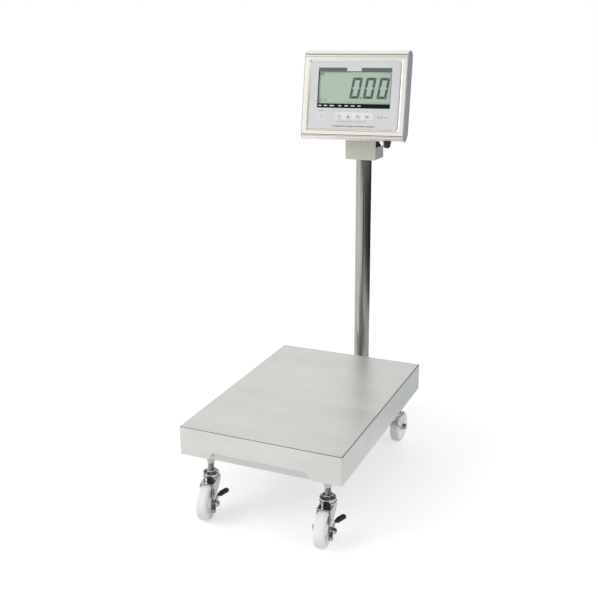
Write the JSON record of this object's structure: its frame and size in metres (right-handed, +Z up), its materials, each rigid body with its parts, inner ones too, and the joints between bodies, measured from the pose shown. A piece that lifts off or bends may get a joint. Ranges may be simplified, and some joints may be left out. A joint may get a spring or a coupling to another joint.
{
  "type": "platform scale",
  "caption": "Wheeled platform scale: lift-off steel platter on a load cell frame with swivel casters, and a column with a tilting digital display head.",
  "frame": {"origin": "centre of the bounding box on the floor", "axes": "+Z up, +X to the operator's right, +Y to the back, the operator stands at -Y; the head is turned 6 degrees toward +X"},
  "size_m": [0.36, 0.6808, 0.9365],
  "materials": {
    "platter_steel": "satin sheet",
    "frame_steel": "satin folded sheet",
    "pad_rubber": "matt",
    "cell_aluminium": "milled",
    "zinc_fasteners": "zinc plated",
    "boss_white": "white, satin",
    "tube_steel": "polished tube",
    "tray_steel": "warm grey satin",
    "caster_chrome": "bright plated",
    "wheel_nylon": "moulded nylon",
    "pedal_black": "matt",
    "housing_steel": "warm satin",
    "side_grey": "lilac grey satin",
    "panel_film": "printed film",
    "lens_clear": "clear",
    "lcd_green": "display glass",
    "black_plastic": "moulded",
    "board_green": "coated board",
    "key_white": "soft sheen",
    "key_pink": "soft sheen"
  },
  "bodies": {
    "base": {"platter_pads": "pad_rubber", "upper_frame": "frame_steel", "load_cell": "cell_aluminium", "load_cell_spacers": "frame_steel", "load_cell_bolts": "zinc_fasteners", "load_cell_beam": "frame_steel", "base_frame": "frame_steel", "overload_stops": "zinc_fasteners", "stem_bosses": "boss_white", "frame_bolts": "zinc_fasteners", "column_arm": "frame_steel", "column_foot": "frame_steel", "column": "tube_steel", "head_tray": "tray_steel", "pan_bolt": "zinc_fasteners", "caster_stems": "caster_chrome", "upper_races": "caster_chrome"},
    "platter": {"platter": "platter_steel"},
    "pan": {"pan_cheeks": "tray_steel", "tilt_bolt": "zinc_fasteners"},
    "head": {"head_wrap": "housing_steel", "head_sides": "side_grey", "membrane_panel": "panel_film", "window_lens": "lens_clear", "lcd_frame": "black_plastic", "lcd_glass": "lcd_green", "main_board": "board_green", "key_board": "board_green", "key_switches": "black_plastic", "board_screws": "zinc_fasteners", "battery": "black_plastic", "battery_shelf": "frame_steel", "cable_gland": "black_plastic", "rear_gasket": "pad_rubber", "rear_cover": "side_grey", "rear_screws": "zinc_fasteners", "tilt_yoke": "tray_steel", "yoke_screws": "zinc_fasteners"},
    "key_power": {"key_power": "key_pink"},
    "key_zero": {"key_zero": "key_white"},
    "key_tare": {"key_tare": "key_white"},
    "key_unit": {"key_unit": "key_white"},
    "key_print": {"key_print": "key_white"},
    "caster_front_left": {"fork_front_left": "caster_chrome", "axle_front_left": "caster_chrome"},
    "wheel_front_left": {"wheel_front_left": "wheel_nylon"},
    "brake_front_left": {"brake_lever_front_left": "caster_chrome", "brake_pedal_front_left": "pedal_black"},
    "caster_front_right": {"fork_front_right": "caster_chrome", "axle_front_right": "caster_chrome"},
    "wheel_front_right": {"wheel_front_right": "wheel_nylon"},
    "brake_front_right": {"brake_lever_front_right": "caster_chrome", "brake_pedal_front_right": "pedal_black"},
    "caster_rear_left": {"fork_rear_left": "caster_chrome", "axle_rear_left": "caster_chrome"},
    "wheel_rear_left": {"wheel_rear_left": "wheel_nylon"},
    "caster_rear_right": {"fork_rear_right": "caster_chrome", "axle_rear_right": "caster_chrome"},
    "wheel_rear_right": {"wheel_rear_right": "wheel_nylon"}
  },
  "joints": [
    {"name": "platter_lift_off", "type": "slide", "parent": "base", "child": "platter", "axis": [0, 0, 1], "range_m": [0, 0.12]},
    {"name": "head_pan", "type": "hinge", "parent": "base", "child": "pan", "pos_m": [0, 0.30041, 0.718], "axis": [0, 0, 1], "range_deg": [-36, 24]},
    {"name": "head_tilt", "type": "hinge", "parent": "pan", "child": "head", "pos_m": [0, 0.30041, 0.718], "axis": [-0.9945, -0.1045, 0], "range_deg": [-10, 20]},
    {"name": "press_power", "type": "slide", "parent": "head", "child": "key_power", "axis": [-0.1021, 0.9717, -0.213], "range_m": [0, 0.0006], "stiffness_N_per_m": 500},
    {"name": "press_zero", "type": "slide", "parent": "head", "child": "key_zero", "axis": [-0.1021, 0.9717, -0.213], "range_m": [0, 0.0006], "stiffness_N_per_m": 500},
    {"name": "press_tare", "type": "slide", "parent": "head", "child": "key_tare", "axis": [-0.1021, 0.9717, -0.213], "range_m": [0, 0.0006], "stiffness_N_per_m": 500},
    {"name": "press_unit", "type": "slide", "parent": "head", "child": "key_unit", "axis": [-0.1021, 0.9717, -0.213], "range_m": [0, 0.0006], "stiffness_N_per_m": 500},
    {"name": "press_print", "type": "slide", "parent": "head", "child": "key_print", "axis": [-0.1021, 0.9717, -0.213], "range_m": [0, 0.0006], "stiffness_N_per_m": 500},
    {"name": "swivel_front_left", "type": "hinge", "parent": "base", "child": "caster_front_left", "pos_m": [-0.1335, -0.26559, 0.078], "axis": [0, 0, 1], "continuous": true},
    {"name": "roll_front_left", "type": "hinge", "parent": "caster_front_left", "child": "wheel_front_left", "pos_m": [-0.12707, -0.30203, 0.0375], "axis": [0.9848, 0.1736, 0], "continuous": true},
    {"name": "brake_front_left", "type": "hinge", "parent": "caster_front_left", "child": "brake_front_left", "pos_m": [-0.12707, -0.30203, 0.0375], "axis": [-0.9848, -0.1736, 0], "range_deg": [0, 18]},
    {"name": "swivel_front_right", "type": "hinge", "parent": "base", "child": "caster_front_right", "pos_m": [0.1335, -0.26559, 0.078], "axis": [0, 0, 1], "continuous": true},
    {"name": "roll_front_right", "type": "hinge", "parent": "caster_front_right", "child": "wheel_front_right", "pos_m": [0.13737, -0.30239, 0.0375], "axis": [0.9945, 0.1045, 0], "continuous": true},
    {"name": "brake_front_right", "type": "hinge", "parent": "caster_front_right", "child": "brake_front_right", "pos_m": [0.13737, -0.30239, 0.0375], "axis": [-0.9945, -0.1045, 0], "range_deg": [0, 18]},
    {"name": "swivel_rear_left", "type": "hinge", "parent": "base", "child": "caster_rear_left", "pos_m": [-0.1335, 0.17041, 0.078], "axis": [0, 0, 1], "continuous": true},
    {"name": "roll_rear_left", "type": "hinge", "parent": "caster_rear_left", "child": "wheel_rear_left", "pos_m": [-0.1335, 0.20741, 0.0375], "axis": [-1, 0, 0], "continuous": true},
    {"name": "swivel_rear_right", "type": "hinge", "parent": "base", "child": "caster_rear_right", "pos_m": [0.1335, 0.17041, 0.078], "axis": [0, 0, 1], "continuous": true},
    {"name": "roll_rear_right", "type": "hinge", "parent": "caster_rear_right", "child": "wheel_rear_right", "pos_m": [0.1335, 0.20741, 0.0375], "axis": [-1, 0, 0], "continuous": true}
  ]
}
